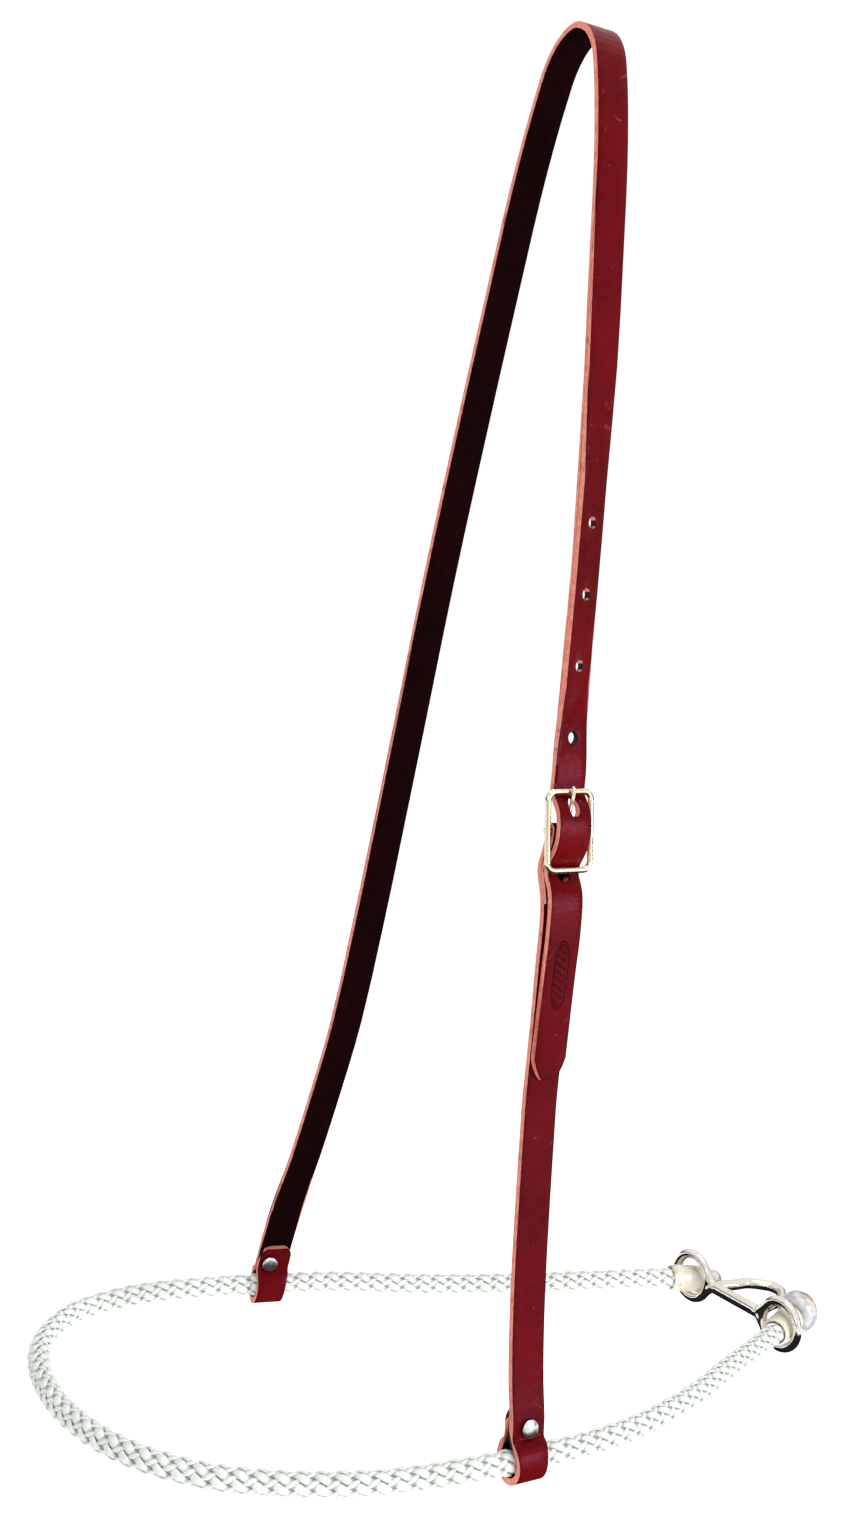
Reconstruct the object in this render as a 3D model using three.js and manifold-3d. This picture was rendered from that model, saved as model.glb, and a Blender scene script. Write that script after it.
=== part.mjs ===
// Western bitless headpiece: a braided rope noseband that hangs in a riveted leather hanger, with a
// tie-down keeper joining the rope's two ends under the chin.
//
// Everything is drawn with heights measured from the level of the rope, the nose toward -X, the
// chin toward +X and the buckled (near) side toward -Y. The finished group is then moved so that
// its origin is the poll rest, the underside of the crown.

import * as THREE from 'three';
import { mergeVertices } from 'three/addons/utils/BufferGeometryUtils.js';
import Module from 'manifold-3d';

const wasm = await Module();
wasm.setup();

// ---- Driving dimensions, in millimetres and degrees ----

const GAP = 0.3; // between pieces that touch

const ROPE_RADIUS = 4.3;
const STRAP_WIDTH = 13.2;
const STRAP_THICKNESS = 2.3;
const SKIVED_THICKNESS = 1.2; // where the cheek strap is folded round the buckle's bar
const CROWN_HEIGHT = 505; // underside of the crown above the rope
const CROWN_X = 37.4; // the crown sits behind the feet, over the horse's poll

// Each leg ends at a foot, a loop of strap round the rope. The foot turns with the rope.
// Its rivet may sit off the strap's middle.
const NEAR = { side: -1, footX: 12.6, turn: 1.5, rivetX: 0 };
const FAR = { side: 1, footX: -14, turn: -10.5, rivetX: -2 };
const LEG_BOW = 2.6; // each leg bows this far to the rear at half height
const FOOT_OUT = 79.5;
const FOOT_LEAN = 0.13; // outward run of the leg per millimetre of fall, just above the rope
const FOOT_TILT = THREE.MathUtils.radToDeg(Math.atan(FOOT_LEAN));
const LOOP_CLEARANCE = 0.7; // round the rope, so that the noseband can tip
const LOOP_WAIST = 0.12; // the strap draws in by this share of its width where it rounds the rope
const FLAP_HEIGHT = 17.5;
const FOOT_RIVET_HEIGHT = 11.1;
const LAYER_OFFSET = 1.35; // half the spacing of two strap layers that a rivet holds together
const TURN_TOP = 60; // the leg starts turning toward the rope below this height
const TURN_END = 18;

// Each leg's centreline: distance out from the middle, height. The far leg hangs a little slacker.
NEAR.line = [
  [18.2, 486], [22.1, 470], [25.7, 450], [29.7, 420], [37.1, 360], [42.3, 300], [45.6, 254],
  [48.5, 233], [50.4, 216], [54, 180], [58.4, 120], [62.6, 90], [67.4, 60], [71.6, 40], [75.4, 25],
];
FAR.line = [
  [18.2, 486], [22.4, 470], [26.3, 450], [30.4, 420], [37.7, 360], [43.5, 300], [46.9, 240],
  [49.9, 180], [54.4, 120], [60.3, 90], [67.5, 60], [73, 40], [76.3, 25],
];
const CROWN_TOP = CROWN_HEIGHT + STRAP_THICKNESS / 2;
const CROWN_ARCH = [[-14.6, 496], [-8.6, 503], [0, CROWN_TOP], [8.6, 503], [14.6, 496]];

// The near leg twists a little to the rear between the buckle and the crown.
const TWIST = 19;
const TWIST_RISE = [234, 268];
const TWIST_FALL = [335, 400];

// Centre-bar buckle on the near leg. Outward offsets are measured from the leg's centreline.
const BUCKLE_HEIGHT = 216;
const BUCKLE_WIRE = 1.1; // radius
const BUCKLE_HALF_WIDTH = 9.1; // to the middle of the wire
const BUCKLE_HALF_HEIGHT = 13.9;
const BUCKLE_CORNER = 3;
const FRAME_OUT = STRAP_THICKNESS / 2 + GAP + BUCKLE_WIRE;
const CENTRE_BAR_OUT = FRAME_OUT - 2.1;
const BUCKLE_SHIFT = 0.1; // toward the strap's rear edge
const BUCKLE_TILT = 5.7; // the leg's own slope there
const BUCKLE_ROLL = -1.6;
const FOLD_GAP = 0.42; // between the centre bar and the leather folded round it
const TONGUE_WIRE = 0.85;
const TONGUE_SLOT_HALF = 1.9;
const TONGUE_SLOT_BOTTOM = 207;

const HOLE_PITCH = 25.4;
const HOLE_RADIUS = 2.2;
// The billet slopes at the tongue, so the heights of the next holes are less than a pitch away.
const TONGUE_HOLE_HEIGHT = 224.6;
const TONGUE_HOLE_HALF_LENGTH = 3.5;
const FIRST_HOLE_ABOVE = 248.6;
const HOLES_ABOVE = 4;
const HOLE_BELOW = 200.6;
const BILLET_TIP = 129;
const FOLD_RIVET_HEIGHT = 194.5;
const FOLD_RIVET_OUT = -1.3;
const FOLD_RIVET_TILT = 19;
const FOLD_FLAP_END = 190.5;

const RIVET_SHANK = 1.6;
const FOOT_GRIP = LAYER_OFFSET + STRAP_THICKNESS / 2;
const FOOT_RIVET = { head: 3.2, dome: 1.5, cap: 3, seatGap: 0.8, halfGrip: FOOT_GRIP };
const FOLD_RIVET = { head: 2.3, dome: 0.25, cap: 2.3, seatGap: 0.25, halfGrip: 1.9 };

// Tie-down keeper: two eyes for the rope's ends, a straight bar between them and a rear bow.
const KEEPER_PLACE = new THREE.Vector3(175.2, 0.1, 0.6); // its eyes ride a little above the rope's middle
const KEEPER_YAW = 5;
const EYE_SPACING = 26.7; // from the middle to each eye
const EYE_RADIUS = 9.75; // to the middle of the wire
const KEEPER_WIRE = 2;
const NECK_SPACING = 14;
const BOW_DEPTH = 26;
const BOW_HALF_WIDTH = 10.8;
const BAR_HEIGHT_RATIO = 1.4; // the bar is taller than it is deep
const BOW_WIRE = 2.3;

const SLEEVE_RADIUS = 5.8;
const SLEEVE_BORE = 4.8;
const SLEEVE_LENGTH = 18;
const NEAR_KNOB = { radius: 8.6, length: 12 };
const FAR_KNOB = { radius: 5.2, length: 6.5 };

// The rope's route round the nose, from the far knob to the near knob. It lies level but for its
// far end, which dips under the keeper's bar.
const ROPE_ROUTE = [
  [179.5, 24.9, -1.9], [172.9, 26.9, -0.8], [157, 30.6], [129, 37], [81, 48.8], [49, 58.8],
  [13, 73], [-14, 79.5], [-38, 84.2], [-70, 86.5], [-98, 78.5],
  [-115, 60.5], [-122.5, 42], [-124.8, 23], [-123.4, 4],
  [-117.3, -18], [-107, -36], [-93, -51], [-79, -60.5], [-58, -70], [-38, -75.8], [-11, -78.9],
  [12.6, -79.5], [45, -78.6], [71, -73.8], [100, -64.2], [132, -49.1], [157, -37.5, -0.5],
  [177.8, -27.2, -0.4], [187.4, -23.2, 1],
];

// ---- Colours ----

const MATERIALS = {
  grain: new THREE.MeshStandardMaterial({ color: 0x5c1420, roughness: 0.45, metalness: 0 }),
  nickel: new THREE.MeshStandardMaterial({ color: 0xcfc9bb, roughness: 0.2, metalness: 1 }),
  steel: new THREE.MeshStandardMaterial({ color: 0x9ba3a8, roughness: 0.3, metalness: 1 }),
  rope: new THREE.MeshStandardMaterial({ color: 0xe3e8e2, roughness: 0.7, metalness: 0 }),
  sleeve: new THREE.MeshStandardMaterial({ color: 0xd9c9b4, roughness: 0.5, metalness: 0 }),
};

// ---- Solids: joining and cutting ----

function toSolid(geometry) {
  const bare = new THREE.BufferGeometry();
  bare.setAttribute('position', geometry.getAttribute('position').clone());
  bare.setIndex(geometry.getIndex());
  const merged = mergeVertices(bare, 1e-4);
  return new wasm.Manifold(new wasm.Mesh({
    numProp: 3,
    vertProperties: new Float32Array(merged.getAttribute('position').array),
    triVerts: new Uint32Array(merged.getIndex().array),
  }));
}

function toGeometry(solid) {
  const mesh = solid.getMesh();
  const geometry = new THREE.BufferGeometry();
  geometry.setAttribute('position', new THREE.BufferAttribute(mesh.vertProperties, 3));
  geometry.setIndex(new THREE.BufferAttribute(mesh.triVerts, 1));
  return geometry;
}

function join(geometries) {
  return toGeometry(geometries.map(toSolid).reduce((whole, next) => whole.add(next)));
}

function cut(geometry, cutters) {
  return toGeometry(cutters.map(toSolid).reduce((whole, next) => whole.subtract(next), toSolid(geometry)));
}

// ---- The hanger's drawing plane ----
// The hanger is drawn upright as (x across the strap's width, y to the sides, z up) with x = 0 on
// the strap's middle. settle() then leans each leg forward to its foot and turns the foot.

function legOut(height, line = NEAR.line) {
  const upper = line.findIndex(([, level]) => level <= height);
  const [outBelow, below] = line[upper];
  const [outAbove, above] = line[Math.max(upper - 1, 0)];
  const share = above === below ? 0 : (height - below) / (above - below);
  return outBelow + share * (outAbove - outBelow);
}

function settle(geometry, leg) {
  const position = geometry.getAttribute('position');
  const point = new THREE.Vector3();
  const up = new THREE.Vector3(0, 0, 1);
  const foot = new THREE.Vector3(0, leg.side * FOOT_OUT, 0);
  const { smoothstep, degToRad, lerp } = THREE.MathUtils;
  for (let i = 0; i < position.count; i += 1) {
    point.fromBufferAttribute(position, i);
    if (leg === NEAR && point.z > TWIST_RISE[0] && point.z < TWIST_FALL[1]) {
      const twisted = smoothstep(point.z, ...TWIST_RISE) * (1 - smoothstep(point.z, ...TWIST_FALL));
      const middle = new THREE.Vector3(0, -legOut(point.z), 0);
      point.sub(middle).applyAxisAngle(up, degToRad(TWIST) * twisted).add(middle);
    }
    const atLoop = 1 - smoothstep(point.z, 0, 9);
    point.x *= 1 - LOOP_WAIST * atLoop;
    const turned = 1 - smoothstep(point.z, TURN_END, TURN_TOP);
    point.sub(foot).applyAxisAngle(up, degToRad(leg.turn) * turned).add(foot);
    const climbed = point.z / CROWN_HEIGHT;
    point.x += lerp(leg.footX, CROWN_X, climbed) + LEG_BOW * Math.sin(Math.PI * climbed);
    position.setXYZ(i, point.x, point.y, point.z);
  }
  return geometry;
}

// The crown strap crosses from one leg to the other, so each half settles with its own leg.
function settleCrown(geometry) {
  const position = geometry.getAttribute('position');
  const half = (side) => {
    const copy = geometry.clone();
    settle(copy, side);
    return copy.getAttribute('position');
  };
  const near = half(NEAR);
  const far = half(FAR);
  for (let i = 0; i < position.count; i += 1) {
    const source = position.getY(i) < 0 ? near : far;
    position.setXYZ(i, source.getX(i), source.getY(i), source.getZ(i));
  }
  return geometry;
}

// A strap along a line of [y, z] points, extruded to the strap's width. A point may give a thickness
// of its own, where the leather is skived.
function strap(points, stepsPerPoint) {
  const knots = points.map(([y, z, thickness = STRAP_THICKNESS]) => new THREE.Vector3(y, z, thickness));
  const line = new THREE.CatmullRomCurve3(knots, false, 'centripetal');
  const count = (points.length - 1) * stepsPerPoint;
  const left = [];
  const right = [];
  for (let i = 0; i <= count; i += 1) {
    const centre = line.getPoint(i / count);
    const along = line.getTangent(i / count);
    const across = new THREE.Vector2(-along.y, along.x).setLength(centre.z / 2);
    left.push(new THREE.Vector2(centre.x + across.x, centre.y + across.y));
    right.unshift(new THREE.Vector2(centre.x - across.x, centre.y - across.y));
  }
  const outline = new THREE.Shape([...left, ...right]);
  const geometry = new THREE.ExtrudeGeometry(outline, { depth: STRAP_WIDTH, bevelEnabled: false });
  geometry.translate(0, 0, -STRAP_WIDTH / 2);
  // The outline's plane becomes the y-z plane and the extrusion runs along x.
  geometry.applyMatrix4(new THREE.Matrix4().set(0, 0, 1, 0, 1, 0, 0, 0, 0, 1, 0, 0, 0, 0, 0, 1));
  return geometry;
}

// Narrows a strap's end: share(distance) is the part of the full width left at that distance.
function narrowEnd(geometry, distanceFromEnd, length, share) {
  const position = geometry.getAttribute('position');
  for (let i = 0; i < position.count; i += 1) {
    const distance = distanceFromEnd(position.getY(i), position.getZ(i));
    if (distance < length) {
      position.setX(i, position.getX(i) * share(Math.max(distance / length, 0)));
    }
  }
}

// Width of a rounded end: nearly full at once, full at the shoulder.
const rounded = (share) => 0.45 + 0.55 * Math.sqrt(1 - (1 - share) ** 2);

// How far out the middle of a foot's two layers is, at a height above the rope.
const footOut = (height) => FOOT_OUT - FOOT_LEAN * Math.max(height, 0);

// Distance from the foot flap's end; the flap lies inside the middle of the two layers.
function fromFlapEnd(y, z) {
  const onFlap = Math.abs(y) < footOut(z) && z > FOOT_RIVET_HEIGHT && z < FLAP_HEIGHT + 1;
  return onFlap ? FLAP_HEIGHT - z : Infinity;
}

// The loop round the rope, from the flap's end on the inside, under the rope, to the outside.
function footLoop(side) {
  const radius = ROPE_RADIUS + LOOP_CLEARANCE + STRAP_THICKNESS / 2;
  const flap = [
    [-1.65, FLAP_HEIGHT], [-1.55, FLAP_HEIGHT - 1.4], [-1.45, FLAP_HEIGHT - 3.2],
    [-LAYER_OFFSET, FOOT_RIVET_HEIGHT], [-1.65, 7.6], [-3.7, 5.6],
  ];
  const under = [];
  for (let angle = 170; angle <= 370; angle += 25) {
    const radians = THREE.MathUtils.degToRad(angle);
    under.push([radius * Math.cos(radians), radius * Math.sin(radians)]);
  }
  const rising = [[4.3, 5.6], [1.75, 7.6], [LAYER_OFFSET, FOOT_RIVET_HEIGHT], [1.2, 14]];
  return [...flap, ...under, ...rising].map(([out, z]) => [side * (footOut(z) + out), z]);
}

// A point beside a leg, on a side, at a height, with an outward offset from the leg's centreline.
const beside = (side) => ([height, out, thickness]) => [side * (legOut(height) + out), height, thickness];

// Puts a piece turned about y through a leg, tilted with the leg's slope in degrees.
function putThrough(geometry, leg, across, out, height, tilt) {
  geometry.rotateX(leg.side * THREE.MathUtils.degToRad(tilt));
  geometry.translate(across, leg.side * out, height);
  return settle(geometry, leg);
}

// A round or upright oval hole through a strap.
function holeCutter(leg, out, height, halfHeight = HOLE_RADIUS) {
  const cutter = new THREE.CylinderGeometry(HOLE_RADIUS, HOLE_RADIUS, 4 * STRAP_THICKNESS, 12);
  cutter.scale(1, 1, halfHeight / HOLE_RADIUS);
  return putThrough(cutter, leg, 0, out, height, BUCKLE_TILT);
}

function rivetHole(leg, across, out, height, tilt) {
  const radius = RIVET_SHANK + GAP;
  const cutter = new THREE.CylinderGeometry(radius, radius, 4 * STRAP_THICKNESS, 12);
  return putThrough(cutter, leg, across, out, height, tilt);
}

const footRivetPlace = (leg) => [leg, leg.rivetX, footOut(FOOT_RIVET_HEIGHT), FOOT_RIVET_HEIGHT, FOOT_TILT];
const foldRivetPlace = [
  NEAR, 0, legOut(FOLD_RIVET_HEIGHT) + FOLD_RIVET_OUT, FOLD_RIVET_HEIGHT, FOLD_RIVET_TILT,
];

// ---- Leather ----

function crownStrap() {
  const farLeg = FAR.line.slice().reverse();
  const aboveBuckle = NEAR.line.filter(([, height]) => height > BUCKLE_HEIGHT + 20);
  const nearLeg = aboveBuckle.map(([out, height]) => [-out, height]);
  const billet = [
    [238, 0], [234, -0.2], [231, -0.35], [228.6, 0], [226.8, 1.4], [225, 3], [222.6, 4.5], [219.6, 5.3],
    [BUCKLE_HEIGHT, 5.5], [212, 4.9], [208.5, 3.2], [205.5, 1.2], [203.4, 0.15], [201.4, -0.05], [199.5, 0.5],
    [197.5, 1.8], [194.5, 3.3], [190, 4.1], [184, 4.2], [177, 4.1], [170, 3.7], [160, 3.3], [142, 2.9],
    [134, 2.7], [BILLET_TIP, 2.65],
  ].map(beside(NEAR.side));
  const line = [...footLoop(FAR.side), ...farLeg, ...CROWN_ARCH.slice().reverse(), ...nearLeg, ...billet];
  const geometry = strap(line, 3);
  narrowEnd(geometry, (y, z) => (y > 0 ? fromFlapEnd(y, z) : Infinity), 4, rounded);
  narrowEnd(geometry, (y, z) => (y < 0 ? z - BILLET_TIP : Infinity), 7, (share) => 0.4 + 0.6 * share ** 0.7);
  settleCrown(geometry);
  const holes = [rivetHole(...footRivetPlace(FAR))];
  for (let step = 1; step <= HOLES_ABOVE; step += 1) {
    const height = FIRST_HOLE_ABOVE + (step - 1) * HOLE_PITCH;
    holes.push(holeCutter(NEAR, legOut(height), height));
  }
  holes.push(holeCutter(NEAR, legOut(HOLE_BELOW) + 1.5, HOLE_BELOW));
  const engaged = legOut(TONGUE_HOLE_HEIGHT) + FRAME_OUT + 1;
  holes.push(holeCutter(NEAR, engaged, TONGUE_HOLE_HEIGHT, TONGUE_HOLE_HALF_LENGTH));
  return cut(geometry, holes);
}

// The cheek strap rises behind the billet, turns over the buckle's centre bar and ends in a short
// skived flap between the billet and itself.
function cheekStrap() {
  const thin = SKIVED_THICKNESS;
  const radius = BUCKLE_WIRE + FOLD_GAP + thin / 2;
  const foldFlap = [
    [FOLD_FLAP_END, 1.05, thin], [193, 0.6, thin], [196, -0.45, thin], [199, -1.6, thin], [202, -2.35, thin],
    [205, -1.5, thin], [208, 0.1, thin], [211.5, 1.7, thin],
  ];
  const fold = [];
  for (let angle = 0; angle <= 180; angle += 22.5) {
    const radians = THREE.MathUtils.degToRad(angle);
    const [rise, out] = [radius * Math.sin(radians), radius * Math.cos(radians)];
    fold.push([BUCKLE_HEIGHT + rise, CENTRE_BAR_OUT + out, thin]);
  }
  const main = [
    [211, -2.2, 1.4], [207.5, -3, 1.8], [204.5, -4], [202, -4.4], [199, -3.75], [196, -2.5], [193, -1.4],
    [190, -0.8], [186, -0.4], [180, -0.3], [172, -0.4], [160, -0.3], [150, 0], [140, 0], [130, 0], [120, 0],
    [110, 0], [90, 0], [60, 0], [40, 0], [25, 0],
  ];
  const upper = [...foldFlap, ...fold, ...main].map(beside(NEAR.side));
  const geometry = strap([...upper, ...footLoop(NEAR.side).reverse()], 3);
  narrowEnd(geometry, fromFlapEnd, 4, rounded);
  settle(geometry, NEAR);
  const slotHeight = 2 * (BUCKLE_HEIGHT - TONGUE_SLOT_BOTTOM);
  const slot = new THREE.BoxGeometry(2 * TONGUE_SLOT_HALF, 20, slotHeight);
  slot.translate(BUCKLE_SHIFT, -legOut(BUCKLE_HEIGHT), TONGUE_SLOT_BOTTOM + slotHeight / 2);
  const rivetHoles = [rivetHole(...footRivetPlace(NEAR)), rivetHole(...foldRivetPlace)];
  return cut(geometry, [settle(slot, NEAR), ...rivetHoles]);
}

// ---- Rivets ----
// Turned pieces whose axis points outward through the strap.

const turned = (profile, sides) => new THREE.LatheGeometry(
  profile.map(([radius, along]) => new THREE.Vector2(radius, along)), sides,
);

function rivet([leg, ...place], { head, dome, cap, seatGap, halfGrip }) {
  const seat = halfGrip + seatGap;
  const outward = (geometry) => (leg.side < 0 ? geometry.rotateX(Math.PI) : geometry);
  const shankAndHead = turned([
    [0, -halfGrip], [RIVET_SHANK, -halfGrip], [RIVET_SHANK, seat], [head, seat],
    [0.8 * head, seat + 0.65 * dome], [0.4 * head, seat + 0.95 * dome], [0, seat + dome],
  ], 20);
  const washer = turned([
    [0, -seat - 1.2], [0.6 * cap, -seat - 1.1], [0.9 * cap, -seat - 0.7], [cap, -seat], [0, -seat],
  ], 20);
  return {
    body: putThrough(outward(shankAndHead), leg, ...place),
    cap: putThrough(outward(washer), leg, ...place),
  };
}

// ---- Buckle ----
// Drawn about the middle of the frame, with the wire's plane in x-z, then tilted with the leg.

const drawnCentre = new THREE.Vector3(BUCKLE_SHIFT, -legOut(BUCKLE_HEIGHT), BUCKLE_HEIGHT);
const settledCentre = settle(new THREE.BufferGeometry().setFromPoints([drawnCentre]), NEAR);
const buckleCentre = new THREE.Vector3().fromBufferAttribute(settledCentre.getAttribute('position'), 0);

function placeBuckle(geometry) {
  geometry.rotateY(THREE.MathUtils.degToRad(BUCKLE_ROLL));
  geometry.rotateX(THREE.MathUtils.degToRad(-BUCKLE_TILT));
  geometry.translate(...buckleCentre);
  return geometry;
}

function roundedRectangle(target, halfWidth, halfHeight, corner) {
  target.moveTo(-halfWidth + corner, -halfHeight);
  target.lineTo(halfWidth - corner, -halfHeight);
  target.absarc(halfWidth - corner, -halfHeight + corner, corner, -Math.PI / 2, 0, false);
  target.absarc(halfWidth - corner, halfHeight - corner, corner, 0, Math.PI / 2, false);
  target.absarc(-halfWidth + corner, halfHeight - corner, corner, Math.PI / 2, Math.PI, false);
  target.absarc(-halfWidth + corner, -halfHeight + corner, corner, Math.PI, 1.5 * Math.PI, false);
  return target;
}

function buckleFrame() {
  const bevel = 0.75;
  const outer = BUCKLE_WIRE - bevel;
  const ring = roundedRectangle(
    new THREE.Shape(), BUCKLE_HALF_WIDTH + outer, BUCKLE_HALF_HEIGHT + outer, BUCKLE_CORNER + outer,
  );
  ring.holes.push(roundedRectangle(
    new THREE.Path(), BUCKLE_HALF_WIDTH - outer, BUCKLE_HALF_HEIGHT - outer, BUCKLE_CORNER - outer,
  ));
  const frame = new THREE.ExtrudeGeometry(ring, {
    depth: 2 * outer,
    bevelEnabled: true,
    bevelSize: bevel,
    bevelThickness: bevel,
    bevelSegments: 2,
    curveSegments: 4,
  });
  frame.translate(0, 0, -outer);
  frame.rotateX(Math.PI / 2);
  frame.translate(0, -FRAME_OUT, 0);
  const bar = new THREE.CylinderGeometry(BUCKLE_WIRE, BUCKLE_WIRE, 2 * BUCKLE_HALF_WIDTH, 12);
  bar.rotateZ(Math.PI / 2);
  bar.translate(0, -CENTRE_BAR_OUT, 0);
  return placeBuckle(join([frame, bar]));
}

function buckleTongue() {
  const ringRadius = BUCKLE_WIRE + GAP + TONGUE_WIRE;
  const ring = new THREE.TorusGeometry(ringRadius, TONGUE_WIRE, 8, 18);
  ring.rotateY(Math.PI / 2);
  ring.translate(0, -CENTRE_BAR_OUT, 0);
  const tipOut = FRAME_OUT + BUCKLE_WIRE + GAP + TONGUE_WIRE;
  const line = new THREE.CatmullRomCurve3([
    new THREE.Vector3(0, -CENTRE_BAR_OUT - 0.5 * ringRadius, 0.8 * ringRadius),
    new THREE.Vector3(0, -2.15, 4.6),
    new THREE.Vector3(0, -3.3, 8.6),
    new THREE.Vector3(0, -tipOut, BUCKLE_HALF_HEIGHT - 1.2),
    new THREE.Vector3(0, -tipOut, BUCKLE_HALF_HEIGHT + 1.3),
  ]);
  const section = new THREE.Shape().absarc(0, 0, TONGUE_WIRE, 0, 2 * Math.PI, false);
  const prong = new THREE.ExtrudeGeometry(section, { extrudePath: line, steps: 12, curveSegments: 4 });
  return placeBuckle(join([ring, prong]));
}

// ---- Noseband rope ----

const ropePoints = ROPE_ROUTE.map(([x, y, z = 0]) => new THREE.Vector3(x, y, z));
const ropeLine = new THREE.CatmullRomCurve3(ropePoints, false, 'centripetal');

function circle(radius, sides, firstCorner = 0) {
  const points = [];
  for (let i = 0; i < sides; i += 1) {
    const angle = firstCorner + (2 * Math.PI * i) / sides;
    points.push(new THREE.Vector2(radius * Math.cos(angle), radius * Math.sin(angle)));
  }
  return points;
}

function nosebandRope() {
  const section = new THREE.Shape(circle(ROPE_RADIUS, 10));
  return new THREE.ExtrudeGeometry(section, { extrudePath: ropeLine, steps: 72 });
}

// A short tube round the rope between two distances along it.
function ropeSleeve(from, to) {
  const length = ropeLine.getLength();
  const points = [];
  for (let i = 0; i <= 5; i += 1) {
    points.push(ropeLine.getPointAt(THREE.MathUtils.lerp(from, to, i / 5) / length));
  }
  const section = new THREE.Shape(circle(SLEEVE_RADIUS, 16));
  section.holes.push(new THREE.Path(circle(SLEEVE_BORE, 16)));
  return new THREE.ExtrudeGeometry(section, { extrudePath: new THREE.CatmullRomCurve3(points), steps: 5 });
}

// The fused end knob, turned about the rope's own direction where it ends.
function ropeKnob(share, radius, length) {
  const profile = [
    [0, 0], [0.7, 0], [0.92, 0.11], [1, 0.34], [0.96, 0.64], [0.72, 0.89], [0.4, 0.98], [0, 1],
  ];
  const knob = turned(profile.map(([out, along]) => [out * radius, along * length]), 20);
  const outward = ropeLine.getTangentAt(share).multiplyScalar(share < 0.5 ? -1 : 1);
  knob.applyQuaternion(new THREE.Quaternion().setFromUnitVectors(new THREE.Vector3(0, 1, 0), outward));
  const end = ropeLine.getPointAt(share).addScaledVector(outward, GAP);
  knob.translate(end.x, end.y, end.z);
  return knob;
}

// ---- Tie-down keeper ----

// Round wire of eight sides, with a flat side facing into and out of a bend.
function wire(points, radius, steps) {
  const section = new THREE.Shape(circle(radius, 8, Math.PI / 8));
  const path = new THREE.CatmullRomCurve3(points.map(([x, y, z]) => new THREE.Vector3(x, y, z)));
  return new THREE.ExtrudeGeometry(section, { extrudePath: path, steps });
}

function keeperEye(side) {
  const ring = new THREE.TorusGeometry(EYE_RADIUS, KEEPER_WIRE, 8, 24);
  ring.rotateY(Math.PI / 2);
  ring.translate(0, side * EYE_SPACING, 0);
  // Two shoulders run from the ring to the neck and give the eye its teardrop shape.
  const shoulderY = EYE_SPACING - 0.62 * EYE_RADIUS;
  const shoulderZ = 0.78 * EYE_RADIUS;
  const shoulder = (up) => wire([
    [0, side * shoulderY, up * shoulderZ],
    [0, side * (shoulderY + NECK_SPACING) / 2, (up * shoulderZ) / 2],
    [0, side * (NECK_SPACING - 0.5), 0],
  ], KEEPER_WIRE, 3);
  return [ring, shoulder(1), shoulder(-1)];
}

function tieDownKeeper() {
  const bar = wire([[0, -NECK_SPACING, 0], [0, 0, 0], [0, NECK_SPACING, 0]], KEEPER_WIRE, 2);
  bar.scale(1, 1, BAR_HEIGHT_RATIO);
  const branch = [
    [0, NECK_SPACING - 1], [4, NECK_SPACING - 1], [11, BOW_HALF_WIDTH + 0.3], [18, BOW_HALF_WIDTH - 0.8],
    [23.5, BOW_HALF_WIDTH - 5],
  ];
  const nearBranch = branch.map(([x, y]) => [x, -y, 0]);
  const farBranch = branch.map(([x, y]) => [x, y, 0]).reverse();
  const bow = wire([...nearBranch, [BOW_DEPTH, -2.5, 0], [BOW_DEPTH, 2.5, 0], ...farBranch], BOW_WIRE, 33);
  const keeper = join([...keeperEye(-1), ...keeperEye(1), bar, bow]);
  keeper.rotateZ(THREE.MathUtils.degToRad(KEEPER_YAW));
  keeper.translate(KEEPER_PLACE.x, KEEPER_PLACE.y, KEEPER_PLACE.z);
  return keeper;
}

// ---- Assembly ----

const model = new THREE.Group();

function add(name, geometry, material) {
  const mesh = new THREE.Mesh(geometry, material);
  mesh.name = name;
  model.add(mesh);
}

add('crown_strap', crownStrap(), MATERIALS.grain);
add('cheek_strap', cheekStrap(), MATERIALS.grain);
add('buckle_frame', buckleFrame(), MATERIALS.nickel);
add('buckle_tongue', buckleTongue(), MATERIALS.nickel);

const RIVETS = {
  far_foot_rivet: rivet(footRivetPlace(FAR), FOOT_RIVET),
  near_foot_rivet: rivet(footRivetPlace(NEAR), FOOT_RIVET),
  buckle_fold_rivet: rivet(foldRivetPlace, FOLD_RIVET),
};
for (const [name, pieces] of Object.entries(RIVETS)) {
  add(name, pieces.body, MATERIALS.steel);
  add(`${name}_cap`, pieces.cap, MATERIALS.steel);
}

const ropeLength = ropeLine.getLength();
add('noseband_rope', nosebandRope(), MATERIALS.rope);
add('far_rope_sleeve', ropeSleeve(GAP, SLEEVE_LENGTH), MATERIALS.sleeve);
add('near_rope_sleeve', ropeSleeve(ropeLength - SLEEVE_LENGTH, ropeLength - GAP), MATERIALS.sleeve);
add('far_rope_knob', ropeKnob(0, FAR_KNOB.radius, FAR_KNOB.length), MATERIALS.rope);
add('near_rope_knob', ropeKnob(1, NEAR_KNOB.radius, NEAR_KNOB.length), MATERIALS.rope);
add('tie_down_keeper', tieDownKeeper(), MATERIALS.nickel);

model.position.set(-CROWN_X, 0, -CROWN_HEIGHT);

export default model;
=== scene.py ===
"""Looks of a bitless western headpiece: a braided rope noseband in a riveted leather hanger.

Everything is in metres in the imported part's frame: origin at the poll rest, the nose toward -X,
the chin toward +X and the buckled (near) side toward -Y.
"""
import math

import bmesh
import bpy
import numpy as np
from mathutils import Matrix, Vector
from mathutils.kdtree import KDTree


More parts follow.
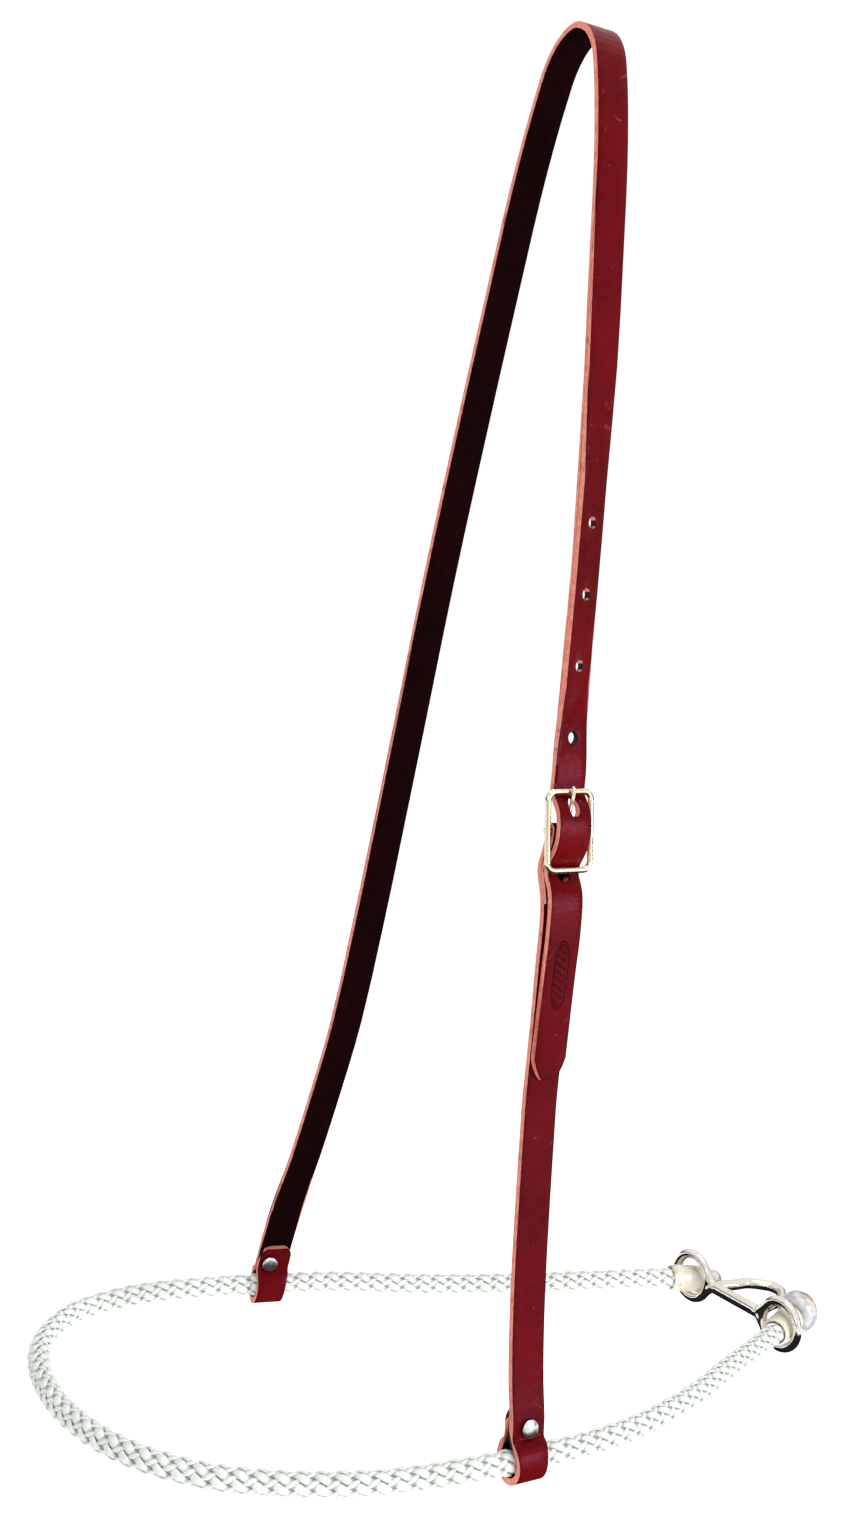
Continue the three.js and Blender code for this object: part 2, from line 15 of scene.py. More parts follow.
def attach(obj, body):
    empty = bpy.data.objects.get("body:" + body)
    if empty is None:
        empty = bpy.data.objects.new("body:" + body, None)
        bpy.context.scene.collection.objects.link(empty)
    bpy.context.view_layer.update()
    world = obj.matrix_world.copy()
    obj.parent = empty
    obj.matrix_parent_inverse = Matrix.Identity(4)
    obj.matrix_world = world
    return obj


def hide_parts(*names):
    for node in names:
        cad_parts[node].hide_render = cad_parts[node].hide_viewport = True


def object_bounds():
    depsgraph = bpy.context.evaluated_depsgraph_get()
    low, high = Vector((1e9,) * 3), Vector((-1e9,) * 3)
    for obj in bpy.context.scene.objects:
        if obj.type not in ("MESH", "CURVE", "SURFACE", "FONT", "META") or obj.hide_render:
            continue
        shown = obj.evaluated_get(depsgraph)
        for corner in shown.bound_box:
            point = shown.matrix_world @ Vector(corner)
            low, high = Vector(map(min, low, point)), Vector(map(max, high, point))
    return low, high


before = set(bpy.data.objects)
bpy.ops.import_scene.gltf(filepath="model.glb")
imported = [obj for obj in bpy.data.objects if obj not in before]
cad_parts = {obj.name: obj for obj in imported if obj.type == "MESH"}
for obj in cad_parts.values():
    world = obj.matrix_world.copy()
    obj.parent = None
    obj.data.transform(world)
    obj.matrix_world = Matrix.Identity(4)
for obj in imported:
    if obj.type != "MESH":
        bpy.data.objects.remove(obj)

MM = 0.001
cad_low, cad_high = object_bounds()
random = np.random.default_rng(7)

# ---- Camera ----

CAMERA_PLACE = Vector((-0.33505, -0.51281, -0.21693))
CAMERA_RIGHT = Vector((0.86853, -0.48808, 0.08619))
CAMERA_UP = Vector((-0.02943, 0.12279, 0.99200))
LENS_MM = 37.8

# ---- Sizes shared with the part, in millimetres ----

CROWN_X = 37.4  # the part's origin, seen from the middle of the rope's loop
CROWN_HEIGHT = 505
SLEEVE_RADIUS = 5.8
SLEEVE_LENGTH = 18
PIECE_GAP = 0.3

# The rope's route from the far knob to the near knob, heights from the rope's own level.
ROPE_ROUTE = [
    (179.5, 24.9, -1.9), (172.9, 26.9, -0.8), (157, 30.6), (129, 37), (81, 48.8), (49, 58.8),
    (13, 73), (-14, 79.5), (-38, 84.2), (-70, 86.5), (-98, 78.5), (-115, 60.5), (-122.5, 42),
    (-124.8, 23), (-123.4, 4), (-117.3, -18), (-107, -36), (-93, -51), (-79, -60.5), (-58, -70),
    (-38, -75.8), (-11, -78.9), (12.6, -79.5), (45, -78.6), (71, -73.8), (100, -64.2),
    (132, -49.1), (157, -37.5, -0.5), (177.8, -27.2, -0.4), (187.4, -23.2, 1),
]

# ---- Driving dimensions; a length without MM is in millimetres ----

# A braid over a core: strands of both hands cross over and under each other.
STRANDS_PER_HAND = 6
BRAID_LEAD = 40
STRAND_ORBIT = 3.25  # radius of the strands' mean path
STRAND_LEAD_SHARE = 0.16  # the strands of one hand lie this much further out, and wider
STRAND_WEAVE = 0.4
STRAND_HALF_WIDTH = 1.2
STRAND_HALF_THICKNESS = 0.68
STRAND_SIDES = 6
STRAND_SWELL = 0.05  # share by which a strand swells and thins along its run
SWELL_RATE = 210  # radians of swelling for each metre
MEAN_WIDTH = 0.92  # a strand's width as shares of its own, and how it grows where it is on top
WIDTH_ON_TOP = 0.12
WIDTH_OF_LEADING_HAND = 1.6
YARN_PITCH = 10
YARN_SHIFT = 3.7  # keeps the yarns of neighbouring strands apart
YARN_RELIEF = 0.12 * MM
BRAID_STEP = 0.55
CORE_RADIUS = 3.1
CORE_SIDES = 14
CORE_SHADE_DEPTH = 0.1  # how exposed the core is, where a strand's outside is 1; it sets the core's painted shade
ROUTE_STEPS = 24  # points of the rope's line for each span of its route

# The sleeve's outside as (share along, share of the radius); the knob's as (radius, along).
SLEEVE_OUTSIDE = [(0, 0.86), (0.02, 0.95), (0.07, 0.995), (0.2, 1), (0.45, 0.985), (0.7, 1),
                  (0.93, 0.99), (0.98, 0.94), (1, 0.84)]
SLEEVE_BORE = 0.76
SLEEVE_SIDES = 40
SLEEVE_RIPPLE = 0.012
KNOB_OUTLINE = [(0, 0), (0.66, 0), (0.84, 0.05), (0.94, 0.14), (1, 0.3), (1, 0.45), (0.965, 0.62),
                (0.87, 0.78), (0.7, 0.9), (0.46, 0.97), (0.2, 0.995), (0, 1)]
KNOB_RIDGE = 0.018
KNOB_LUMP = 0.02
KNOB_DIMPLE = 0.012
FAR_KNOB_SIZE = (5.2, 6.5)  # radius and length
NEAR_KNOB_SIZE = (8.6, 12)

# The keeper: two eyes, a bar and a bow.
KEEPER_PLACE = Vector((175.2, 0.1, 0.6))
KEEPER_YAW = 5
EYE_SPACING = 26.7
EYE_RADIUS = 9.75
NECK_SPACING = 14
KEEPER_WIRE = 2
BAR_HEIGHT_RATIO = 1.4
SHOULDER_OUT = 0.62  # where a shoulder leaves its eye, in shares of the eye's radius
SHOULDER_UP = 0.78
SHOULDER_TUCK = 0.5
BOW_WIRE = 2.3
BOW_DEPTH = 26
BOW_HALF_WIDTH = 10.8
BOW_FULLNESS = 1.02  # makes up for what the smoothing takes off the bow's wire

BUCKLE_WIRE = 1.1
BUCKLE_CORNER = 3
BUCKLE_FULLNESS = 1.06
CORNER_STEPS = 8
TONGUE_WIRE = 0.85
TONGUE_TAPER = (0.98, 0.8)

# Voxel size and smoothing rounds of each fused piece.
KEEPER_CAST = (0.27 * MM, 9)
BUCKLE_CAST = (0.15 * MM, 8)
TONGUE_CAST = (0.12 * MM, 7)

# Rivets: dome heights, shank radii as shares of the head's, and the cap's outline as (radius, along).
RIVETS = {"far_foot": (1.5, 0.5), "near_foot": (1.5, 0.5), "buckle_fold": (0.6, 0.66)}
DOME_STEPS = 9
CAP_OUTLINE = [(0, -1), (0.3, -0.98), (0.42, -0.9), (0.5, -0.86), (0.66, -0.8), (0.82, -0.6), (0.94, -0.2),
               (1, 0.35), (0.99, 0.85), (0.95, 1), (0, 1)]

EDGE_ROUNDING = 0.35 * MM
MERGE_DISTANCE = 2e-6  # metres
FLAT_ANGLE = math.radians(0.6)  # faces that meet at less are joined into one
SHARP_ANGLE = math.radians(50)
SIDE_FACING = 0.72  # a strap's cut sides face along X by at least this share
HOLE_WALL_AREA = 9e-6  # no wall of a hole is larger, in square metres

END_ROUNDS = 4  # rings of a half ball at a wire's end
SMALLEST_ROUND = 0.05

# The tool mark on the billet: a generic oval with slanted bars.
MARK_PLACE = (22.9, -60, 166)
MARK_LEAN = math.radians(3.2)
MARK_HALF_WIDTH = 3.2 * MM
MARK_HALF_HEIGHT = 12 * MM
MARK_BORDER = 0.85
MARK_INSIDE = 0.6
MARK_BAR_PITCH = 2.6 * MM
MARK_BAR_SLANT = 0.6
MARK_DEPTH = 20 * MM

# Leather and nylon looks.
PORE_SCALE = 2300
BURNISH_WIDTH = 0.9 * MM
RIM_FADE = (0.1 * MM, 0.8 * MM)
LIP_WIDTH = 1.4 * MM
SUBSURFACE_RADIUS = (4 * MM, 3 * MM, 2 * MM)

# Stage and light, in metres.
FLOOR_HEIGHT = -0.95
FLOOR_REACH = 30
FLOOR_GLOW = 0.8
FLAG_HEIGHT = -0.75
FLAG_REACH = 0.7
AMBIENT_TINT = (0.93, 0.96, 1, 1)
AMBIENT_POWER = 0.36
BACKDROP_POWER = 1.05
WHITE = (1, 1, 1, 1)
DIM_ROOM, BRIGHT_ROOM = 0.05, 1.0
CEILING_RANGE = (0.05, 0.4)  # of a direction's Z, from dim to bright
WALL_RANGE = (-0.6, -0.95)  # of a direction's Y
LIGHTS = [  # name, place, size, watts, tint
    ("overhead", (-0.1, -0.1, 1.5), 1.3, 22, (1, 1, 1)),
    ("front_left", (-1.3, -1.5, 0.3), 0.9, 5, (0.96, 0.97, 1)),
    ("strap_sheen", (0.78, -1.5, -0.02), 0.34, 15, (0.94, 0.95, 1)),
]


def part_point(x, y, z=0.0):
    """A point given from the rope's own middle, in the part's frame."""
    return Vector((x - CROWN_X, y, z - CROWN_HEIGHT)) * MM


# ---- Node materials ----


def add(material, kind, settings=None, **inputs):
    """Adds a shader node. An input is a value or another node's socket.

    An input is named as its socket, with _ for a space, or by its number, as i0.
    """
    made = material.node_tree.nodes.new(kind)
    for key, value in (settings or {}).items():
        setattr(made, key, value)
    for key, value in inputs.items():
        number = key[1:]
        socket = made.inputs[int(number) if number.isdigit() else key.replace("_", " ")]
        if isinstance(value, bpy.types.NodeSocket):
            material.node_tree.links.new(value, socket)
        else:
            socket.default_value = value
    return made


def new_material(name, **values):
    material = bpy.data.materials.new(name)
    material.use_nodes = True
    shader = material.node_tree.nodes["Principled BSDF"]
    for key, value in values.items():
        shader.inputs[key.replace("_", " ")].default_value = value
    return material, shader


def link(material, output, target):
    material.node_tree.links.new(output, target)


def colour(red, green, blue):
    """A colour given by its 0 to 255 screen values, as scene-linear values."""
    def linear(value):
        share = value / 255
        return share / 12.92 if share <= 0.04045 else ((share + 0.055) / 1.055) ** 2.4
    return (linear(red), linear(green), linear(blue), 1)


def noise(material, scale, detail=3, roughness=0.55, distortion=0.0, vector=None):
    made = add(material, "ShaderNodeTexNoise", None, Vector=vector or place_in(material),
               Scale=scale, Detail=detail, Roughness=roughness, Distortion=distortion)
    return made.outputs["Fac"]


def spread(material, value, low, high, to_low=0.0, to_high=1.0):
    made = add(material, "ShaderNodeMapRange", {"clamp": True}, Value=value,
               From_Min=low, From_Max=high, To_Min=to_low, To_Max=to_high)
    return made.outputs["Result"]


def mix(material, share, first, second):
    made = add(material, "ShaderNodeMix", {"data_type": "RGBA", "clamp_factor": True},
               i0=share, i6=first, i7=second)
    return made.outputs[2]


def maths(material, operation, first, second=0.0):
    return add(material, "ShaderNodeMath", {"operation": operation}, i0=first, i1=second).outputs[0]


def bump(material, shader, height, strength, distance, below=None):
    inputs = {"Height": height, "Strength": strength, "Distance": distance}
    if below:
        inputs["Normal"] = below
    made = add(material, "ShaderNodeBump", None, **inputs)
    link(material, made.outputs["Normal"], shader.inputs["Normal"])
    return made.outputs["Normal"]


def attribute(material, name):
    return add(material, "ShaderNodeAttribute", {"attribute_name": name}).outputs["Fac"]


GRAIN_DARK = colour(70, 0, 1)
GRAIN_RED = colour(98, 1, 3)
GRAIN_BLOOM = colour(124, 4, 22)
BURNISH = colour(62, 1, 3)
RIM_SHADE = colour(22, 1, 2)
SCRATCH = colour(176, 74, 92)
PRESSED = colour(46, 2, 8)
TARNISH = colour(120, 98, 72)


def place_in(material):
    """The socket of a point's own place, which textures are laid out by."""
    return add(material, "ShaderNodeTexCoord").outputs["Object"]


def tool_mark(material):
    """A generic pressed mark on the billet: an oval border round slanted bars. 1 where it is pressed."""
    on_mark = add(material, "ShaderNodeMapping", {"vector_type": "TEXTURE"}, Vector=place_in(material),
                  Location=part_point(*MARK_PLACE), Rotation=(0, MARK_LEAN, 0))
    axes = add(material, "ShaderNodeSeparateXYZ", None, Vector=on_mark.outputs["Vector"])
    across = maths(material, "DIVIDE", axes.outputs["X"], MARK_HALF_WIDTH)
    along = maths(material, "DIVIDE", axes.outputs["Z"], MARK_HALF_HEIGHT)
    reach = maths(material, "ADD", maths(material, "POWER", maths(material, "ABSOLUTE", across), 2.0),
                  maths(material, "POWER", maths(material, "ABSOLUTE", along), 4.0))
    off_border = maths(material, "ABSOLUTE", maths(material, "SUBTRACT", reach, MARK_BORDER))
    border = maths(material, "SUBTRACT", 1.0, spread(material, off_border, 0.08, 0.3))
    lean = maths(material, "MULTIPLY", axes.outputs["X"], MARK_BAR_SLANT)
    slant = maths(material, "ADD", axes.outputs["Z"], lean)
    wave = maths(material, "SINE", maths(material, "MULTIPLY", slant, 2 * math.pi / MARK_BAR_PITCH))
    bars = spread(material, wave, 0.1, 0.7)
    inside = maths(material, "LESS_THAN", reach, MARK_INSIDE)
    near_side = maths(material, "LESS_THAN", axes.outputs["Y"], MARK_DEPTH)
    pressed = maths(material, "MAXIMUM", border, maths(material, "MULTIPLY", bars, inside))
    return maths(material, "MULTIPLY", pressed, near_side)


def grain_leather(name, marked):
    """Dark red grain side: mottled dye, fine pores, creases, darker borders and dark hole rims."""
    material, shader = new_material(name, Roughness=0.42, Specular_IOR_Level=0.13,
                                    Specular_Tint=(1, 0.3, 0.5, 1))
    cloud = spread(material, noise(material, 38, 3), 0.3, 0.72)
    speckle = spread(material, noise(material, 1300, 2, 0.7), 0.42, 0.66)
    dyed = mix(material, cloud, GRAIN_DARK, GRAIN_RED)
    bloomed = mix(material, maths(material, "MULTIPLY", speckle, 0.35), dyed, GRAIN_BLOOM)
    border = spread(material, attribute(material, "border"), 0.0, BURNISH_WIDTH)
    burnished = mix(material, border, BURNISH, bloomed)
    rim = spread(material, attribute(material, "rim"), *RIM_FADE)
    rimmed = mix(material, rim, RIM_SHADE, burnished)
    scratch_line = spread(material, noise(material, 90, 4, 0.7, 1.5), 0.655, 0.69)
    worn = mix(material, maths(material, "MULTIPLY", scratch_line, 0.35), rimmed, SCRATCH)
    pores = add(material, "ShaderNodeTexVoronoi", {"feature": "DISTANCE_TO_EDGE"},
                Vector=place_in(material), Scale=PORE_SCALE, Randomness=1.0)
    pebbles = spread(material, pores.outputs["Distance"], 0.0, 0.3)
    fine = bump(material, shader, pebbles, 0.22, 0.04 * MM)
    wide = bump(material, shader, noise(material, 420, 4, 0.65), 0.3, 0.14 * MM, fine)
    crease = spread(material, noise(material, 120, 2, 0.5, 2.5), 0.44, 0.56)
    creased = bump(material, shader, crease, 0.06, 0.3 * MM, wide)
    lip = spread(material, attribute(material, "rim"), 0.0, LIP_WIDTH)
    lipped = bump(material, shader, lip, 0.5, 0.5 * MM, creased)
    if marked:
        pressed = tool_mark(material)
        worn = mix(material, maths(material, "MULTIPLY", pressed, 0.6), worn, PRESSED)
        bump(material, shader, maths(material, "SUBTRACT", 1.0, pressed), 0.9, 0.5 * MM, lipped)
    link(material, worn, shader.inputs["Base Color"])
    gloss = spread(material, noise(material, 320, 3, 0.6), 0.3, 0.7, 0.27, 0.42)
    link(material, gloss, shader.inputs["Roughness"])
    return material


def flesh_with_painted_shade():
    """The strap's inner side: maroon nap, darkened to near black as painted shade."""
    material, shader = new_material("strap_flesh_painted_shade", Roughness=0.78, Specular_IOR_Level=0.02)
    nap = spread(material, noise(material, 420, 4, 0.7), 0.3, 0.7)
    blotch = spread(material, noise(material, 30, 3), 0.35, 0.7)
    # Painted shade: the nap's real maroon is kept near black because the inner side lies in shade; the
    # blotches are random tone.
    base = mix(material, nap, colour(12, 1, 2), colour(30, 3, 4))
    blotched = mix(material, maths(material, "MULTIPLY", blotch, 0.6), base, colour(7, 1, 2))
    link(material, blotched, shader.inputs["Base Color"])
    bump(material, shader, noise(material, 1400, 4, 0.75), 0.5, 0.12 * MM)
    return material


def cut_edge():
    """Undyed cut edge: salmon fibres with dye bled in from both faces."""
    material, shader = new_material("strap_cut_edge", Roughness=0.7, Specular_IOR_Level=0.3)
    stretched = add(material, "ShaderNodeMapping", None, Vector=place_in(material),
                    Scale=(1, 1, 0.25))
    fibre = spread(material, noise(material, 1600, 3, 0.7, 0.0, stretched.outputs["Vector"]), 0.35, 0.68)
    base = mix(material, fibre, colour(206, 108, 92), colour(246, 164, 144))
    bled = spread(material, noise(material, 210, 3, 0.6), 0.58, 0.74)
    dyed = mix(material, maths(material, "MULTIPLY", bled, 0.6), base, colour(150, 44, 40))
    link(material, dyed, shader.inputs["Base Color"])
    bump(material, shader, fibre, 0.45, 0.12 * MM)
    return material


def painted_shade_hole_wall():
    """The rough wall of a punched hole, painted near black as shade."""
    material, shader = new_material("strap_hole_wall_painted_shade", Roughness=0.85)
    # Painted shade: the hole's cut wall is coloured near black for the shade inside it.
    shade = mix(material, noise(material, 900, 2), colour(12, 2, 2), colour(40, 8, 8))
    link(material, shade, shader.inputs["Base Color"])
    bump(material, shader, noise(material, 1500, 2), 0.4, 0.1 * MM)
    return material


def metal(name, bright, dull, roughness, tarnish):
    """Plated or plain metal with faint handling haze, fine scratches and a little tarnish."""
    material, shader = new_material(name, Metallic=1.0)
    haze = spread(material, noise(material, 140, 4, 0.6), 0.35, 0.75)
    spots = spread(material, noise(material, 420, 3, 0.7), 0.62, 0.76)
    base = mix(material, maths(material, "MULTIPLY", haze, 0.4), bright, dull)
    tarnished = mix(material, maths(material, "MULTIPLY", spots, tarnish), base, TARNISH)
    link(material, tarnished, shader.inputs["Base Color"])
    link(material, maths(material, "ADD", maths(material, "MULTIPLY", haze, 0.12), roughness),
         shader.inputs["Roughness"])
    stretched = add(material, "ShaderNodeMapping", None, Vector=place_in(material),
                    Scale=(1, 6, 6))
    scratch = noise(material, 500, 3, 0.7, 0.0, stretched.outputs["Vector"])
    bump(material, shader, scratch, 0.06, 0.05 * MM)
    return material


def braided_nylon():
    """Off-white nylon: yarns along each strand, a little random dirt, and grey-green painted shade where
    strands run under others, on their inner sides and on the core.
    """
    material, shader = new_material("noseband_nylon", Roughness=0.5, Specular_IOR_Level=0.4,
                                    Sheen_Weight=0.15, Sheen_Roughness=0.4, Sheen_Tint=(1, 1, 1, 1))
    strand = add(material, "ShaderNodeUVMap", {"uv_map": "strand"}).outputs["UV"]
    yarns = add(material, "ShaderNodeMapping", None, Vector=strand, Scale=(60, 14, 1)).outputs["Vector"]
    fibre = noise(material, 1.0, 2, 0.6, 0.0, yarns)
    # Painted shade: grey-green darkening by how little a point is exposed, in the crossings, on strand
    # undersides and on the core.
    low = spread(material, attribute(material, "depth"), 0.0, 0.4)
    shade = mix(material, spread(material, fibre, 0.3, 0.7), colour(226, 230, 224), colour(246, 247, 242))
    dirt = spread(material, noise(material, 60, 3), 0.45, 0.75)
    tinted = mix(material, maths(material, "MULTIPLY", dirt, 0.4), shade, colour(208, 214, 194))
    link(material, mix(material, low, colour(154, 168, 154), tinted), shader.inputs["Base Color"])
    bump(material, shader, fibre, 0.35, YARN_RELIEF)
    return material


def fused_nylon():
    """Smooth beige binding where the rope's end is wrapped and fused."""
    material, shader = new_material("sleeve_fused", Roughness=0.42, Specular_IOR_Level=0.5)
    shader.inputs["Subsurface Weight"].default_value = 0.15
    shader.inputs["Subsurface Radius"].default_value = SUBSURFACE_RADIUS
    cloud = spread(material, noise(material, 130, 3), 0.35, 0.7)
    stain = spread(material, noise(material, 260, 3, 0.7), 0.55, 0.75)
    base = mix(material, cloud, colour(232, 228, 216), colour(216, 202, 176))
    stained = mix(material, maths(material, "MULTIPLY", stain, 0.5), base, colour(176, 142, 96))
    link(material, stained, shader.inputs["Base Color"])
    bump(material, shader, noise(material, 500, 3), 0.3, 0.2 * MM)
    return material


def melted_knob():
    """Whitish-grey fused end, browned to amber at its very tip."""
    material, shader = new_material("knob_melted", Roughness=0.3, Specular_IOR_Level=0.5)
    along = attribute(material, "along")
    cloud = spread(material, noise(material, 170, 4, 0.65, 0.6), 0.35, 0.68)
    base = mix(material, cloud, colour(222, 222, 218), colour(150, 146, 156))
    patch = spread(material, noise(material, 230, 3), 0.35, 0.65, -0.16, 0.16)
    tip = spread(material, maths(material, "ADD", along, patch), 0.46, 0.66)
    amber = mix(material, cloud, colour(196, 134, 58), colour(92, 50, 20))
    link(material, mix(material, tip, base, amber), shader.inputs["Base Color"])
    bump(material, shader, noise(material, 330, 3), 0.35, 0.4 * MM)
    return material


# ---- Mesh making ----


def mesh_object(name, points, faces, materials, smooth=True):
    mesh = bpy.data.meshes.new(name)
    mesh.from_pydata([tuple(point) for point in points], [], faces)
    mesh.update()
    if smooth:
        mesh.shade_smooth()
    made = bpy.data.objects.new(name, mesh)
    bpy.context.scene.collection.objects.link(made)
    for material in materials:
        mesh.materials.append(material)
    return made


def catmull(points, per_span):
    """A centripetal Catmull-Rom line through the points, as an array of points."""
    knots = [np.array(point, float) for point in points]
    knots = [2 * knots[0] - knots[1], *knots, 2 * knots[-1] - knots[-2]]
    line = []
    for a, b, c, d in zip(knots, knots[1:], knots[2:], knots[3:]):
        ta = 0.0
        tb = ta + np.linalg.norm(b - a) ** 0.5
        tc = tb + np.linalg.norm(c - b) ** 0.5
        td = tc + np.linalg.norm(d - c) ** 0.5
        for t in np.linspace(tb, tc, per_span, endpoint=False):
            ab = ((tb - t) * a + (t - ta) * b) / (tb - ta)
            bc = ((tc - t) * b + (t - tb) * c) / (tc - tb)
            cd = ((td - t) * c + (t - tc) * d) / (td - tc)
            abc = ((tc - t) * ab + (t - ta) * bc) / (tc - ta)
            bcd = ((td - t) * bc + (t - tb) * cd) / (td - tb)
            line.append(((tc - t) * abc + (t - tb) * bcd) / (tc - tb))
    return np.array([*line, knots[-2]])


def evenly(line, step):
    """The same line with its points an equal distance apart, and that distance along it."""
    lengths = np.concatenate([[0], np.cumsum(np.linalg.norm(np.diff(line, axis=0), axis=1))])
    at = np.linspace(0, lengths[-1], max(2, round(lengths[-1] / step)) + 1)
    return np.stack([np.interp(at, lengths, line[:, axis]) for axis in range(3)], axis=1), at


def directions(line, up=(0.0, 0.0, 1.0)):
    """Unit vectors along a line, and two across it: sideways and as near to up as they can be."""
    along = np.gradient(line, axis=0)
    along /= np.linalg.norm(along, axis=1, keepdims=True)
    side = np.cross(np.array(up), along)
    side /= np.linalg.norm(side, axis=1, keepdims=True)
    return along, side, np.cross(along, side)


def grid_faces(rows, columns, start=0, closed_rows=False):
    """Quads of a grid of points whose columns close on themselves."""
    faces = []
    for row in range(rows if closed_rows else rows - 1):
        below = start + row * columns
        above = start + (row + 1) % rows * columns
        for column in range(columns):
            after = (column + 1) % columns
            faces.append((below + column, below + after, above + after, above + column))
    return faces


def sweep(line, radius, sides=20, up=(0.0, 0.0, 1.0), closed=False, tall=1.0, rounded=True):
    """A round wire along a line, as points and faces; radius is one number or one for each point.

    tall stretches the section upward, and rounded closes an open wire's ends with half balls.
    """
    line = np.array(line, float)
    if closed:
        ahead, behind = np.roll(line, -1, axis=0), np.roll(line, 1, axis=0)
        along = (ahead - behind) / np.linalg.norm(ahead - behind, axis=1, keepdims=True)
        side = np.cross(np.array(up), along)
        side /= np.linalg.norm(side, axis=1, keepdims=True)
        high = np.cross(along, side)
    else:
        along, side, high = directions(line, up)
    radius = np.broadcast_to(radius, len(line)).astype(float)
    if rounded and not closed:
        turn = np.linspace(0, math.pi / 2, END_ROUNDS + 1)[:-1]
        start = [line[0] - along[0] * radius[0] * math.cos(a) for a in turn]
        end = [line[-1] + along[-1] * radius[-1] * math.cos(a) for a in turn[::-1]]
        line = np.array([*start, *line, *end])
        shares = [max(math.sin(a), SMALLEST_ROUND) for a in turn]
        radius = np.array([*[radius[0] * share for share in shares], *radius,
                           *[radius[-1] * share for share in shares[::-1]]])
        side = np.array([*[side[0]] * END_ROUNDS, *side, *[side[-1]] * END_ROUNDS])
        high = np.array([*[high[0]] * END_ROUNDS, *high, *[high[-1]] * END_ROUNDS])
    angle = np.linspace(0, 2 * math.pi, sides, endpoint=False)
    across = side[:, None] * np.cos(angle)[None, :, None]
    upward = high[:, None] * np.sin(angle)[None, :, None] * tall
    points = (line[:, None] + (across + upward) * radius[:, None, None]).reshape(-1, 3)
    faces = grid_faces(len(line), sides, closed_rows=closed)
    if not closed:
        faces.append(tuple(range(sides))[::-1])
        faces.append(tuple(range(len(points) - sides, len(points))))
    return points, faces


def combine(shapes):
    points, faces, start = [], [], 0
    for shape_points, shape_faces in shapes:
        points.extend(shape_points)
        faces.extend([tuple(i + start for i in face) for face in shape_faces])
        start += len(shape_points)
    return points, faces


def apply_modifiers(made):
    graph = bpy.context.evaluated_depsgraph_get()
    made.data = bpy.data.meshes.new_from_object(made.evaluated_get(graph), depsgraph=graph,
                                                preserve_all_data_layers=True)
    made.modifiers.clear()


def smooth_once(made):
    smooth = made.modifiers.new("smooth", "SUBSURF")
    smooth.levels = smooth.render_levels = 1
    apply_modifiers(made)


def moved(shapes, move):
    """The same shapes with each point moved by a function of it."""
    return [([move(Vector(point)) for point in points], faces) for points, faces in shapes]


def cast(name, shapes, material, voxel, smoothing):
    """One smooth piece from overlapping wires: they are fused and the joints are filleted."""
    made = mesh_object(name, *combine(shapes), [material])
    fuse = made.modifiers.new("fuse", "REMESH")
    fuse.mode = "VOXEL"
    fuse.voxel_size = voxel
    fillet = made.modifiers.new("fillet", "SMOOTH")
    fillet.factor = 0.5
    fillet.iterations = smoothing
    apply_modifiers(made)
    made.data.shade_smooth()
    return made


def turned(name, profile, centre, axis, material, sides=48, wobble=None):
    """A piece turned about an axis, from (radius, along) pairs that start and end on the axis.

    wobble gives the share by which the radius grows at an angle and a place along the axis.
    """
    turn = Vector((0, 0, 1)).rotation_difference(Vector(axis)).to_matrix()
    ring = profile[1:-1]
    points = [centre + turn @ Vector((0, 0, profile[0][1]))]
    for radius, along in ring:
        for k in range(sides):
            angle = 2 * math.pi * k / sides
            reach = radius * (1 + wobble(angle, along) if wobble else 1)
            local = Vector((reach * math.cos(angle), reach * math.sin(angle), along))
            points.append(centre + turn @ local)
    points.append(centre + turn @ Vector((0, 0, profile[-1][1])))
    faces = grid_faces(len(ring), sides, start=1)
    faces += [(0, 1 + (k + 1) % sides, 1 + k) for k in range(sides)]
    last = len(points) - 1
    first = last - sides
    faces += [(last, first + k, first + (k + 1) % sides) for k in range(sides)]
    made = mesh_object(name, points, faces, [material])
    longest = max(along for _, along in profile)
    shares = [along / longest for _, along in ring for _ in range(sides)]
    store(made.data, "along", [0.0, *shares, 1.0])
    return made


def node_points(node):
    return np.array([vertex.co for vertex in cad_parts[node].data.vertices], float)


def principal_frame(node):
    """The middle, own axes (longest spread first) and half sizes of a CAD node."""
    points = np.unique(node_points(node).round(7), axis=0)
    _, axes = np.linalg.eigh(np.cov((points - points.mean(0)).T))
    axes = axes.T[::-1]
    local = points @ axes.T
    middle = (local.max(0) + local.min(0)) / 2
    return Vector(middle @ axes), [Vector(axis) for axis in axes], (local.max(0) - local.min(0)) / 2


def finish_piece(made, body, slot, *nodes):
    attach(made, body)
    if nodes:
        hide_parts(*nodes)
    return made


# ---- Leather straps ----


def regions_of(faces):
    """Groups some faces of a mesh into regions that no sharp edge crosses."""
    faces = set(faces)
    groups = []
    while faces:
        group = [faces.pop()]
        for face in group:
            for edge in face.edges:
                if len(edge.link_faces) == 2 and edge.calc_face_angle(0) < SHARP_ANGLE:
                    joined = faces.intersection(edge.link_faces)
                    group.extend(joined)
                    faces.difference_update(joined)
        groups.append(group)
    return sorted(groups, key=lambda group: -area_of(group))


def area_of(group):
    return sum(face.calc_area() for face in group)


def facing_out(group):
    """How much of a region faces away from the horse."""
    return sum(face.calc_area() * face.normal.y * math.copysign(1, face.calc_center_median().y)
               for face in group)


def nearest_distance(mesh, tree):
    """How far each of a mesh's vertices is from the nearest point in a tree."""
    return np.array([tree.find(vertex.co)[2] for vertex in mesh.vertices], np.float32)


def tree_of(points):
    tree = KDTree(len(points))
    for index, point in enumerate(points):
        tree.insert(point, index)
    tree.balance()
    return tree


def store(mesh, name, values):
    mesh.attributes.new(name, "FLOAT", "POINT").data.foreach_set("value", np.asarray(values, np.float32))


GRAIN, FLESH, CUT, HOLE = range(4)  # a strap's material slots


